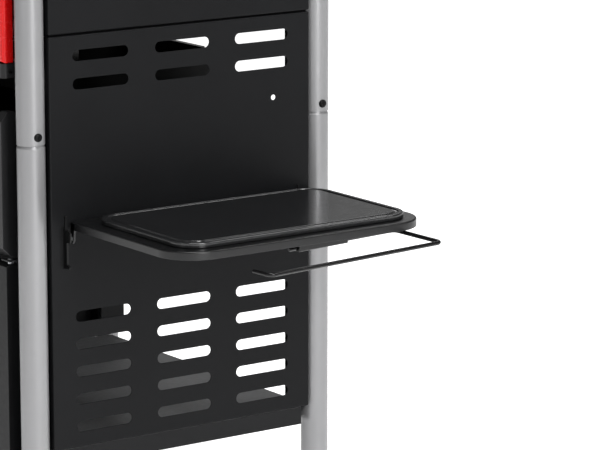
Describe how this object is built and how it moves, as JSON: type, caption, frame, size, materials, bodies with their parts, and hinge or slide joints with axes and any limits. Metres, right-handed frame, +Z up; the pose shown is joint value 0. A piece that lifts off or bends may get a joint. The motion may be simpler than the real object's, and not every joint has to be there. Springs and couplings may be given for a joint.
{
  "type": "gas barbecue grill",
  "caption": "Gas barbecue grill on a cabinet cart with round steel legs, slotted side panels, a drawer, doors, hinged lid and a fold-down side shelf with cutting board and towel rail.",
  "frame": {"origin": "centre of the bounding box on the floor", "axes": "+X to the user's right, towards the side shelf; +Y to the back; +Z up"},
  "size_m": [1.0512, 0.617, 1.128],
  "materials": {
    "silver_tube": "satin",
    "black_screw": "satin",
    "rubber": "matte",
    "black_panel": "satin",
    "black_floor": "satin",
    "dark_frame": "satin",
    "black_enamel": "gloss",
    "burner_steel": "brushed",
    "cast_grate": "matte",
    "zinc": "satin",
    "red_enamel": "gloss",
    "knob_black": "satin",
    "polished_steel": "brushed",
    "shelf_grey": "satin",
    "board_plastic": "gloss",
    "black_wire": "gloss"
  },
  "bodies": {
    "cart": {"leg_lower_front_right": "silver_tube", "leg_upper_front_right": "silver_tube", "leg_screw_front_right": "black_screw", "leg_lower_rear_right": "silver_tube", "leg_upper_rear_right": "silver_tube", "leg_screw_rear_right": "black_screw", "leg_lower_front_left": "silver_tube", "leg_upper_front_left": "silver_tube", "leg_screw_front_left": "black_screw", "leg_lower_rear_left": "silver_tube", "leg_upper_rear_left": "silver_tube", "leg_screw_rear_left": "black_screw", "foot_front_right": "rubber", "foot_rear_right": "rubber", "side_panel_right": "black_panel", "side_panel_left": "black_panel", "upper_band_right": "black_panel", "upper_band_left": "black_panel", "bottom_shelf": "black_floor", "front_crossbar": "dark_frame", "middle_crossbar": "dark_frame", "firebox": "black_enamel", "burner_left": "burner_steel", "burner_centre": "burner_steel", "burner_right": "burner_steel", "flame_tamer_left": "burner_steel", "flame_tamer_centre": "burner_steel", "flame_tamer_right": "burner_steel", "cooking_grate_right": "cast_grate", "cooking_grate_left": "cast_grate", "gas_manifold": "zinc", "control_fascia": "red_enamel", "lid_hinge_rod": "zinc", "drawer_runner_right": "zinc", "drawer_runner_left": "zinc", "door_pin_right": "zinc", "door_pin_left": "zinc", "axle": "zinc", "shelf_bracket_front": "dark_frame", "shelf_bracket_rear": "dark_frame"},
    "lid": {"lid": "black_enamel", "lid_handle": "polished_steel", "thermometer": "polished_steel"},
    "valve_left": {"valve_stem_left": "zinc"},
    "valve_centre": {"valve_stem_centre": "zinc"},
    "valve_right": {"valve_stem_right": "zinc"},
    "knob_left": {"knob_left": "knob_black"},
    "knob_centre": {"knob_centre": "knob_black"},
    "knob_right": {"knob_right": "knob_black"},
    "igniter": {"igniter_button": "knob_black"},
    "drawer": {"drawer": "black_panel"},
    "door_right": {"door_right": "black_panel"},
    "door_left": {"door_left": "black_panel"},
    "tray": {"grease_tray": "dark_frame"},
    "wheel_front": {"wheel_front": "rubber"},
    "wheel_rear": {"wheel_rear": "rubber"},
    "shelf": {"side_shelf": "shelf_grey", "rail_clip": "knob_black"},
    "board": {"cutting_board": "board_plastic"},
    "rail": {"towel_rail": "black_wire"}
  },
  "joints": [
    {"name": "lid_hinge", "type": "hinge", "parent": "cart", "child": "lid", "pos_m": [-0.16627, 0.228, 0.88], "axis": [-1, 0, 0], "range_deg": [0, 80]},
    {"name": "door_right_hinge", "type": "hinge", "parent": "cart", "child": "door_right", "pos_m": [0.07973, -0.252, 0.3], "axis": [0, 0, 1], "range_deg": [0, 110]},
    {"name": "door_left_hinge", "type": "hinge", "parent": "cart", "child": "door_left", "pos_m": [-0.41227, -0.252, 0.3], "axis": [0, 0, -1], "range_deg": [0, 110]},
    {"name": "drawer_slide", "type": "slide", "parent": "cart", "child": "drawer", "axis": [0, -1, 0], "range_m": [0, 0.3]},
    {"name": "grease_tray_slide", "type": "slide", "parent": "cart", "child": "tray", "axis": [0, 1, 0], "range_m": [0, 0.26]},
    {"name": "shelf_fold", "type": "hinge", "parent": "cart", "child": "shelf", "pos_m": [0.14773, 0.018, 0.485], "axis": [0, 1, 0], "range_deg": [0, 90]},
    {"name": "cutting_board_lift", "type": "slide", "parent": "shelf", "child": "board", "axis": [0, 0, 1], "range_m": [0, 0.12]},
    {"name": "towel_rail_slide", "type": "slide", "parent": "shelf", "child": "rail", "axis": [0.1107, -0.9939, 0], "range_m": [-0.02, 0.06]},
    {"name": "wheel_front_spin", "type": "hinge", "parent": "cart", "child": "wheel_front", "pos_m": [-0.45627, -0.2845, 0.07], "axis": [0, 1, 0], "continuous": true},
    {"name": "wheel_rear_spin", "type": "hinge", "parent": "cart", "child": "wheel_rear", "pos_m": [-0.45627, 0.2845, 0.07], "axis": [0, 1, 0], "continuous": true},
    {"name": "igniter_press", "type": "slide", "parent": "cart", "child": "igniter", "axis": [0, 1, 0], "range_m": [0, 0.005], "stiffness_N_per_m": 600},
    {"name": "knob_left_turn", "type": "hinge", "parent": "cart", "child": "valve_left", "pos_m": [-0.31627, -0.25, 0.795], "axis": [0, -1, 0], "range_deg": [0, 180]},
    {"name": "knob_left_press", "type": "slide", "parent": "valve_left", "child": "knob_left", "axis": [0, 1, 0], "range_m": [0, 0.004], "stiffness_N_per_m": 600},
    {"name": "knob_centre_turn", "type": "hinge", "parent": "cart", "child": "valve_centre", "pos_m": [-0.16627, -0.25, 0.795], "axis": [0, -1, 0], "range_deg": [0, 180]},
    {"name": "knob_centre_press", "type": "slide", "parent": "valve_centre", "child": "knob_centre", "axis": [0, 1, 0], "range_m": [0, 0.004], "stiffness_N_per_m": 600},
    {"name": "knob_right_turn", "type": "hinge", "parent": "cart", "child": "valve_right", "pos_m": [-0.01627, -0.25, 0.795], "axis": [0, -1, 0], "range_deg": [0, 180]},
    {"name": "knob_right_press", "type": "slide", "parent": "valve_right", "child": "knob_right", "axis": [0, 1, 0], "range_m": [0, 0.004], "stiffness_N_per_m": 600}
  ]
}
